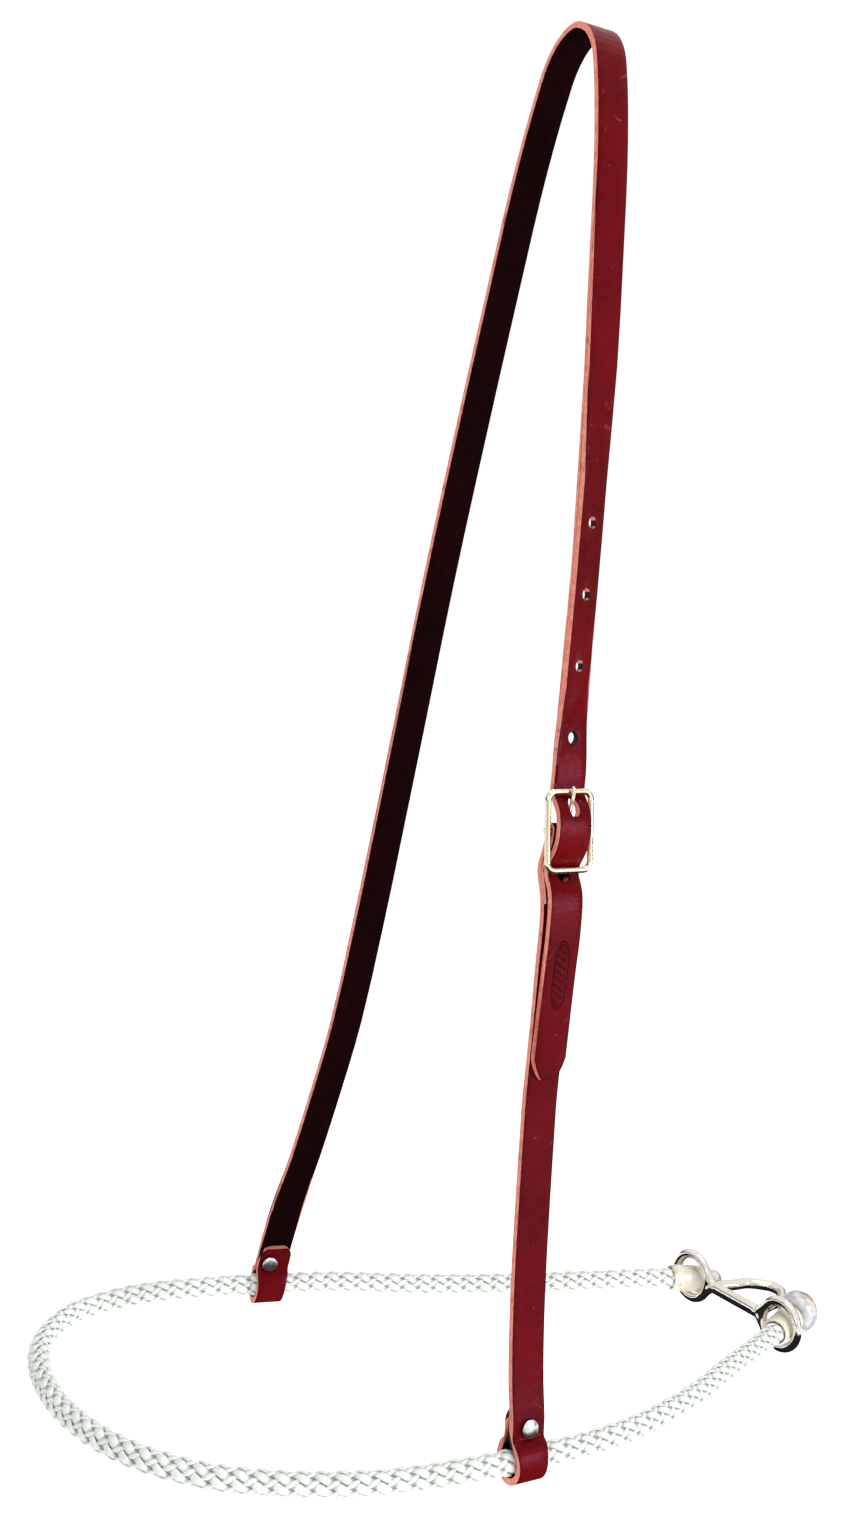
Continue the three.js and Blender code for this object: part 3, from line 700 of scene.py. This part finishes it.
def mark_sides(mesh):
    """Gives a strap's faces their slots: grain outside, flesh inside, cut sides and hole walls."""
    sides = [face for face in mesh.faces if abs(face.normal.x) > SIDE_FACING]
    sheets = regions_of(set(mesh.faces) - set(sides))
    flesh, grain_side = sorted(sheets[:2], key=facing_out)
    for group in [*regions_of(sides), *sheets]:
        kind = HOLE if area_of(group) < HOLE_WALL_AREA else CUT
        kind = FLESH if group is flesh else GRAIN if group is grain_side else kind
        for face in group:
            face.material_index = kind


def store_distances(data):
    """Stores how far each point is from the strap's cut sides, and from its holes."""
    near = {CUT: set(), HOLE: set()}
    for polygon in data.polygons:
        if polygon.material_index in near:
            near[polygon.material_index].update(polygon.vertices)
    for kind, attribute_name in ((CUT, "border"), (HOLE, "rim")):
        tree = tree_of([data.vertices[i].co for i in near[kind]])
        store(data, attribute_name, nearest_distance(data, tree))


def leather_strap(node, name, grain):
    """A strap from its CAD shape: its sides told apart and its edges rounded."""
    mesh = bmesh.new()
    mesh.from_mesh(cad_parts[node].data)
    bmesh.ops.remove_doubles(mesh, verts=mesh.verts, dist=MERGE_DISTANCE)
    bmesh.ops.dissolve_limit(mesh, angle_limit=FLAT_ANGLE, verts=mesh.verts, edges=mesh.edges)
    mark_sides(mesh)
    sharp = [edge for edge in mesh.edges if edge.calc_face_angle(0) > SHARP_ANGLE]
    bmesh.ops.bevel(mesh, geom=sharp, offset=EDGE_ROUNDING, segments=2, profile=0.5, affect="EDGES",
                    clamp_overlap=True, material=-1)
    bmesh.ops.triangulate(mesh, faces=mesh.faces)
    data = bpy.data.meshes.new(name)
    mesh.to_mesh(data)
    mesh.free()
    made = bpy.data.objects.new(name, data)
    bpy.context.scene.collection.objects.link(made)
    for material in (grain, STRAP_FLESH_PAINTED_SHADE, STRAP_EDGE, STRAP_HOLE_PAINTED_SHADE):
        data.materials.append(material)
    finer = made.modifiers.new("finer", "SUBSURF")
    finer.subdivision_type = "SIMPLE"
    finer.levels = finer.render_levels = 2
    apply_modifiers(made)
    made.data.shade_smooth()
    store_distances(made.data)
    return finish_piece(made, "hanger", "leather", node)


# ---- Rope ----


def rope_line():
    route = [part_point(*point) for point in ROPE_ROUTE]
    return evenly(catmull(route, ROUTE_STEPS), BRAID_STEP * MM)


def braid(line, at):
    """The rope's strands: flattened tubes that run both ways round a core, over and under.

    Gives their points and faces, and for each point its place on the strand and how exposed it is, which
    sets the rope's painted shade.
    """
    _, side, high = directions(line)
    angle = np.linspace(0, 2 * math.pi, STRAND_SIDES, endpoint=False)
    turns = 2 * math.pi * at / (BRAID_LEAD * MM)
    points, faces, uv, depth = [], [], [], []
    for hand in (1, -1):
        weave = hand * np.cos(STRANDS_PER_HAND * turns)
        orbit = (STRAND_ORBIT + STRAND_WEAVE * weave + hand * STRAND_LEAD_SHARE) * MM
        for strand in range(STRANDS_PER_HAND):
            swell = 1 + STRAND_SWELL * np.sin(at * SWELL_RATE + random.uniform(0, 6.28))
            theta = hand * turns + 2 * math.pi * strand / STRANDS_PER_HAND
            out = side * np.cos(theta)[:, None] + high * np.sin(theta)[:, None]
            centre = line + out * orbit[:, None]
            run = np.gradient(centre, axis=0)
            run /= np.linalg.norm(run, axis=1, keepdims=True)
            wide = np.cross(run, out)
            half = STRAND_HALF_WIDTH * MM * swell * (
                MEAN_WIDTH + WIDTH_ON_TOP * weave + WIDTH_OF_LEADING_HAND * hand * STRAND_LEAD_SHARE)
            section = (wide[:, None] * (half[:, None] * np.cos(angle))[..., None]
                       + out[:, None] * (STRAND_HALF_THICKNESS * MM * np.sin(angle))[None, :, None])
            start = len(points) * len(line) * STRAND_SIDES
            points.append((centre[:, None] + section).reshape(-1, 3))
            faces += grid_faces(len(line), STRAND_SIDES, start=start)
            faces.append(tuple(range(start, start + STRAND_SIDES))[::-1])
            end = start + (len(line) - 1) * STRAND_SIDES
            faces.append(tuple(range(end, end + STRAND_SIDES)))
            # How exposed each point is: low where a strand runs under another and on its inner side; it
            # drives the painted shade.
            level = 0.5 + 0.5 * weave
            height = 0.55 + 0.45 * np.sin(angle)
            depth.append((level[:, None] * height[None, :]).ravel())
            run_at = at[:, None] / MM / YARN_PITCH + YARN_SHIFT * strand
            uv.append(np.stack(np.broadcast_arrays(run_at, angle[None, :]), -1).reshape(-1, 2))
    return np.concatenate(points), faces, np.concatenate(uv), np.concatenate(depth)


def noseband_rope(line, at):
    """The braid and its core as one piece, with the strand coordinates its yarns follow."""
    points, faces, uv, depth = braid(line, at)
    core_points, core_faces = sweep(line[::4], CORE_RADIUS * MM, sides=CORE_SIDES)
    start = len(points)
    all_points = np.concatenate([points, core_points])
    faces = faces + [tuple(i + start for i in face) for face in core_faces]
    made = mesh_object("braided_noseband", all_points, faces, [ROPE])
    # The core is stored as barely exposed, so it takes the darkest painted shade.
    store(made.data, "depth", np.concatenate([depth, np.full(len(core_points), CORE_SHADE_DEPTH)]))
    uv = np.concatenate([uv, np.zeros((len(core_points), 2))])
    layer = made.data.uv_layers.new(name="strand")
    corner = np.zeros(len(made.data.loops), np.int32)
    made.data.loops.foreach_get("vertex_index", corner)
    layer.data.foreach_set("uv", uv[corner].astype(np.float32).ravel())
    return finish_piece(made, "noseband", "rope", "noseband_rope")


def sleeve(name, node, line, at, start, end):
    """A fused binding round the rope, between two distances along it, with soft ends."""
    outline = [*SLEEVE_OUTSIDE, (1, SLEEVE_BORE), (0, SLEEVE_BORE)]
    _, side, high = directions(line)
    points = []
    for share, radius in outline:
        place = start + share * (end - start)
        centre, across, up = (np.array([np.interp(place, at, rows[:, k]) for k in range(3)])
                              for rows in (line, side, high))
        for k in range(SLEEVE_SIDES):
            angle = 2 * math.pi * k / SLEEVE_SIDES
            ripple = 1 + SLEEVE_RIPPLE * math.sin(3 * angle + 400 * place)
            reach = radius * SLEEVE_RADIUS * MM * ripple
            points.append(centre + (across * math.cos(angle) + up * math.sin(angle)) * reach)
    made = mesh_object(name, points, grid_faces(len(outline), SLEEVE_SIDES, closed_rows=True), [SLEEVE])
    smooth_once(made)
    return finish_piece(made, "noseband", "sleeve", node)


def knob(name, node, place, outward, radius, length):
    """A fused rope end: a lumpy mushroom with the strands' last ridges round its base."""
    radius, length = radius * MM, length * MM
    profile = [(r * radius, a * length) for r, a in KNOB_OUTLINE]

    def wobble(angle, along):
        ridges = KNOB_RIDGE * math.cos(9 * angle + 300 * along) * max(0.0, 1 - along / length)
        lumps = KNOB_LUMP * math.sin(2 * angle + 1) + KNOB_DIMPLE * math.sin(5 * angle + 700 * along)
        return ridges + lumps

    made = turned(name, profile, place, outward, KNOB, wobble=wobble)
    smooth_once(made)
    return finish_piece(made, "noseband", "rope", node)


# ---- Hardware ----


def tie_down_keeper():
    """The chin piece: two eyes, a bar and a bow of round wire, fused and filleted."""
    turn = np.linspace(0, 2 * math.pi, 72, endpoint=False)
    shapes = []
    for side in (-1, 1):
        ring_y = side * EYE_SPACING + EYE_RADIUS * np.cos(turn)
        ring = np.stack([0 * turn, ring_y, EYE_RADIUS * np.sin(turn)], axis=1)
        shapes.append(sweep(ring, KEEPER_WIRE, up=(1, 0, 0), closed=True))
        start_y = EYE_SPACING - SHOULDER_OUT * EYE_RADIUS
        for up in (-1, 1):
            start_z = up * SHOULDER_UP * EYE_RADIUS
            shoulder = [(0, side * start_y, start_z), (0, side * (start_y + NECK_SPACING) / 2, start_z / 2),
                        (0, side * (NECK_SPACING - SHOULDER_TUCK), 0)]
            shapes.append(sweep(catmull(shoulder, 12), KEEPER_WIRE, up=(1, 0, 0)))
    bar = catmull([(0, -NECK_SPACING, 0), (0, 0, 0), (0, NECK_SPACING, 0)], 16)
    shapes.append(sweep(bar, KEEPER_WIRE, tall=BAR_HEIGHT_RATIO))
    branch = [(0, NECK_SPACING - 1), (4, NECK_SPACING - 1), (11, BOW_HALF_WIDTH + 0.3),
              (18, BOW_HALF_WIDTH - 0.8), (23.5, BOW_HALF_WIDTH - 5)]
    near = [(x, -y, 0) for x, y in branch]
    far = [(x, y, 0) for x, y in branch[::-1]]
    bow = catmull([*near, (BOW_DEPTH, -2.5, 0), (BOW_DEPTH, 2.5, 0), *far], 10)
    shapes.append(sweep(bow, BOW_WIRE * BOW_FULLNESS))
    yaw = Matrix.Rotation(math.radians(KEEPER_YAW), 4, "Z")
    place = Matrix.Translation(part_point(*KEEPER_PLACE)) @ yaw
    shapes = moved(shapes, lambda point: place @ (point * MM))
    made = cast("chin_keeper", shapes, NICKEL, *KEEPER_CAST)
    return finish_piece(made, "keeper", "nickel", "tie_down_keeper")


def buckle_axes():
    """The buckle frame's middle, its axes across, up and outward, and its half sizes."""
    middle, (tall, wide, thin), half = principal_frame("buckle_frame")
    tall = tall if tall.z > 0 else -tall
    thin = thin if thin.y < 0 else -thin
    wide = tall.cross(-thin)
    return middle, Matrix((wide, thin, tall)).transposed(), half


def buckle_frame(move, half_wide, half_tall, outward):
    """Rounded rectangle of polished wire with its centre bar set back behind it."""
    wire = BUCKLE_WIRE * MM
    corner = BUCKLE_CORNER * MM
    ring = []
    for side, up, first in ((1, 1, 0), (-1, 1, 90), (-1, -1, 180), (1, -1, 270)):
        for step in range(CORNER_STEPS + 1):
            angle = math.radians(first + 90 * step / CORNER_STEPS)
            ring.append((side * (half_wide - corner) + corner * math.cos(angle), 0,
                         up * (half_tall - corner) + corner * math.sin(angle)))
    line, _ = evenly(np.array([*ring, ring[0]]), 0.8 * MM)
    loop = line[:-1] + np.array([0, outward, 0])
    bar = np.linspace((-half_wide, -outward, 0), (half_wide, -outward, 0), 24)
    shapes = [sweep(loop, wire * BUCKLE_FULLNESS, up=(0, 1, 0), closed=True),
              sweep(bar, wire, rounded=False)]
    made = cast("buckle_wire_frame", moved(shapes, move), BUCKLE_METAL, *BUCKLE_CAST)
    finish_piece(made, "hanger", "nickel", "buckle_frame")


def buckle_prong(move, half_tall, outward):
    """The prong: a ring round the centre bar, and a wire that rests across the frame's top."""
    ring_radius = (BUCKLE_WIRE + PIECE_GAP + TONGUE_WIRE) * MM
    turn = np.linspace(0, 2 * math.pi, 36, endpoint=False)
    loop = np.stack([0 * turn, -outward + ring_radius * np.cos(turn), ring_radius * np.sin(turn)], axis=1)
    rest = outward + BUCKLE_WIRE * MM + (PIECE_GAP + TONGUE_WIRE) * MM
    root = (0, -outward + 0.5 * ring_radius, 0.8 * ring_radius)
    line = catmull([root, (0, 0.65 * MM, 4.6 * MM), (0, 1.8 * MM, 8.6 * MM),
                    (0, rest, half_tall - 1.2 * MM), (0, rest, half_tall + 1.3 * MM)], 12)
    taper = np.linspace(*TONGUE_TAPER, len(line)) * TONGUE_WIRE * MM
    shapes = [sweep(loop, TONGUE_WIRE * MM, up=(1, 0, 0), closed=True), sweep(line, taper, up=(1, 0, 0))]
    made = cast("buckle_prong", moved(shapes, move), BUCKLE_METAL, *TONGUE_CAST)
    finish_piece(made, "buckle_tongue", "nickel", "buckle_tongue")


def buckle():
    middle, axes, (tall, wide, thin) = buckle_axes()
    wire = BUCKLE_WIRE * MM
    half_wide, half_tall, outward = wide - wire, tall - wire, thin - wire

    def move(point):
        return middle + axes @ point

    buckle_frame(move, half_wide, half_tall, outward)
    buckle_prong(move, half_tall, outward)


def rivet_axis(node, cap_node):
    """The outward axis of a rivet, from the middles of its two pieces."""
    head, cap = (principal_frame(name)[0] for name in (node, cap_node))
    return (head - cap).normalized()


def rivet_piece(name, node, axis, shape):
    """A turned rivet piece over its CAD node.

    shape is (radius, along) pairs, as shares of the node's radius and of half its depth.
    """
    points = node_points(node)
    along = points @ np.array(axis)
    middle = Vector(points.min(0) + points.max(0)) / 2
    away = points - np.outer(along - along.mean(), axis)
    radius = np.linalg.norm(away - away.mean(0), axis=1).max()
    depth = (along.max() - along.min()) / 2
    centre = middle + Vector(axis) * ((along.max() + along.min()) / 2 - middle.dot(Vector(axis)))
    profile = [(r * radius, a * depth) for r, a in shape]
    made = turned(name, profile, centre, axis, STEEL)
    return finish_piece(made, "hanger", "steel", node)


def head_outline(dome, shank):
    """A domed head on its shank; dome and shank are shares of the half depth and the radius."""
    seat = 1 - dome
    outline = [(0, -1), (shank, -1), (shank, seat), (0.9, seat), (0.97, seat + 0.02), (1, seat + 0.05)]
    for step in range(1, DOME_STEPS):
        angle = math.radians(90 * step / DOME_STEPS)
        outline.append((math.cos(angle), seat + 0.05 + (0.95 - seat) * math.sin(angle)))
    return [*outline, (0, 1)]


def rivets():
    for place, (dome, shank) in RIVETS.items():
        node = f"{place}_rivet"
        cap_node = f"{node}_cap"
        axis = rivet_axis(node, cap_node)
        along = node_points(node) @ np.array(axis)
        dome_share = 2 * dome * MM / (along.max() - along.min())
        rivet_piece(f"{place}_head", node, axis, head_outline(dome_share, shank))
        rivet_piece(f"{place}_burr", cap_node, axis, CAP_OUTLINE)


# ---- Stage ----


def panel(name, centre, right, up, material):
    corners = [centre - right - up, centre + right - up, centre + right + up, centre - right + up]
    made = mesh_object(name, corners, [(0, 1, 2, 3)], [material], smooth=False)
    return made


def floor_and_flag():
    """A pale floor far below, and a dark panel above it that only reflections see."""
    pale, _ = new_material("stage_pale", Roughness=0.9, Specular_IOR_Level=0.1,
                           Base_Color=(0.9, 0.9, 0.9, 1), Emission_Color=WHITE, Emission_Strength=FLOOR_GLOW)
    panel("floor", Vector((0, 0, FLOOR_HEIGHT)), Vector((FLOOR_REACH, 0, 0)), Vector((0, FLOOR_REACH, 0)),
          pale)
    dark, _ = new_material("stage_flag", Roughness=1.0, Specular_IOR_Level=0.0,
                           Base_Color=(0.012, 0.01, 0.014, 1))
    flag = panel("flag_below", Vector((0, 0, FLAG_HEIGHT)), Vector((FLAG_REACH, 0, 0)),
                 Vector((0, FLAG_REACH, 0)), dark)
    flag.visible_camera = False
    flag.visible_diffuse = False
    flag.visible_shadow = False


def background(nodes, tint, strength):
    made = nodes.new("ShaderNodeBackground")
    made.inputs["Color"].default_value = tint
    made.inputs["Strength"].default_value = strength
    return made


def room_light(nodes, links, axis, dim, bright):
    """How bright the room is along one axis, from its dim to its bright side."""
    made = nodes.new("ShaderNodeMapRange")
    links.new(axis, made.inputs["Value"])
    limits = {"From Min": dim, "From Max": bright, "To Min": DIM_ROOM, "To Max": BRIGHT_ROOM}
    for name, value in limits.items():
        made.inputs[name].default_value = value
    return made.outputs["Result"]


def surroundings():
    """Soft light all round, a white backdrop for the camera and a room for reflections.

    Metal sees a bright ceiling and a bright wall behind the camera, and dim walls at the sides.
    """
    world = bpy.data.worlds.new("studio")
    bpy.context.scene.world = world
    world.use_nodes = True
    nodes, links = world.node_tree.nodes, world.node_tree.links
    seen = nodes["Background"]
    seen.inputs["Color"].default_value = AMBIENT_TINT
    seen.inputs["Strength"].default_value = AMBIENT_POWER
    backdrop = background(nodes, WHITE, BACKDROP_POWER)
    room = background(nodes, WHITE, DIM_ROOM)
    axes = nodes.new("ShaderNodeSeparateXYZ")
    links.new(nodes.new("ShaderNodeTexCoord").outputs["Generated"], axes.inputs[0])
    brighter = nodes.new("ShaderNodeMath")
    brighter.operation = "MAXIMUM"
    links.new(room_light(nodes, links, axes.outputs["Z"], *CEILING_RANGE), brighter.inputs[0])
    links.new(room_light(nodes, links, axes.outputs["Y"], *WALL_RANGE), brighter.inputs[1])
    links.new(brighter.outputs[0], room.inputs["Strength"])
    path = nodes.new("ShaderNodeLightPath")
    for ray, other in (("Is Glossy Ray", room), ("Is Camera Ray", backdrop)):
        choose = nodes.new("ShaderNodeMixShader")
        links.new(path.outputs[ray], choose.inputs[0])
        links.new(seen.outputs[0], choose.inputs[1])
        links.new(other.outputs[0], choose.inputs[2])
        seen = choose
    links.new(seen.outputs[0], nodes["World Output"].inputs["Surface"])


def softbox(name, place, target, size, power, tint):
    light = bpy.data.lights.new(name, "AREA")
    light.shape = "DISK"
    light.size = size
    light.energy = power
    light.color = tint
    made = bpy.data.objects.new(name, light)
    made.location = place
    made.rotation_euler = (Vector(target) - Vector(place)).to_track_quat("-Z", "Y").to_euler()
    bpy.context.scene.collection.objects.link(made)


def lights():
    middle = (cad_low + cad_high) / 2
    for name, place, size, power, tint in LIGHTS:
        softbox(name, place, middle, size, power, tint)


def camera():
    data = bpy.data.cameras.new("camera")
    data.lens = LENS_MM
    made = bpy.data.objects.new("camera", data)
    back = CAMERA_RIGHT.cross(CAMERA_UP)
    turn = Matrix((CAMERA_RIGHT, CAMERA_UP, back)).transposed().to_4x4()
    made.matrix_world = Matrix.Translation(CAMERA_PLACE) @ turn
    bpy.context.scene.collection.objects.link(made)
    bpy.context.scene.camera = made


# ---- Assembly ----

camera()
bpy.context.scene.view_settings.view_transform = "Standard"
floor_and_flag()
surroundings()
lights()

NICKEL = metal("nickel_plate", colour(238, 234, 224), colour(206, 196, 176), 0.07, 0.35)
BUCKLE_METAL = metal("buckle_nickel", colour(232, 220, 194), colour(196, 178, 142), 0.1, 0.4)
STEEL = metal("rivet_steel", colour(224, 228, 224), colour(170, 178, 174), 0.24, 0.3)
STRAP_FLESH_PAINTED_SHADE = flesh_with_painted_shade()
STRAP_EDGE = cut_edge()
STRAP_HOLE_PAINTED_SHADE = painted_shade_hole_wall()
ROPE = braided_nylon()
SLEEVE = fused_nylon()
KNOB = melted_knob()

route_line, route_at = rope_line()
rope_length = float(route_at[-1])
gap = PIECE_GAP * MM
sleeve_length = SLEEVE_LENGTH * MM
far_start, near_start = Vector(route_line[0]), Vector(route_line[-1])
route_along = directions(route_line)[0]
far_out, near_out = -Vector(route_along[0]), Vector(route_along[-1])
rope = noseband_rope(route_line, route_at)
far_sleeve = sleeve("far_binding", "far_rope_sleeve", route_line, route_at, gap, sleeve_length)
near_sleeve = sleeve("near_binding", "near_rope_sleeve", route_line, route_at,
                     rope_length - sleeve_length, rope_length - gap)
far_knob = knob("far_fused_end", "far_rope_knob", far_start + far_out * gap, far_out, *FAR_KNOB_SIZE)
near_knob = knob("near_fused_end", "near_rope_knob", near_start + near_out * gap, near_out, *NEAR_KNOB_SIZE)

leather_strap("crown_strap", "crown_leather", grain_leather("crown_grain", marked=True))
leather_strap("cheek_strap", "cheek_leather", grain_leather("cheek_grain", marked=False))
buckle()
rivets()
tie_down_keeper()
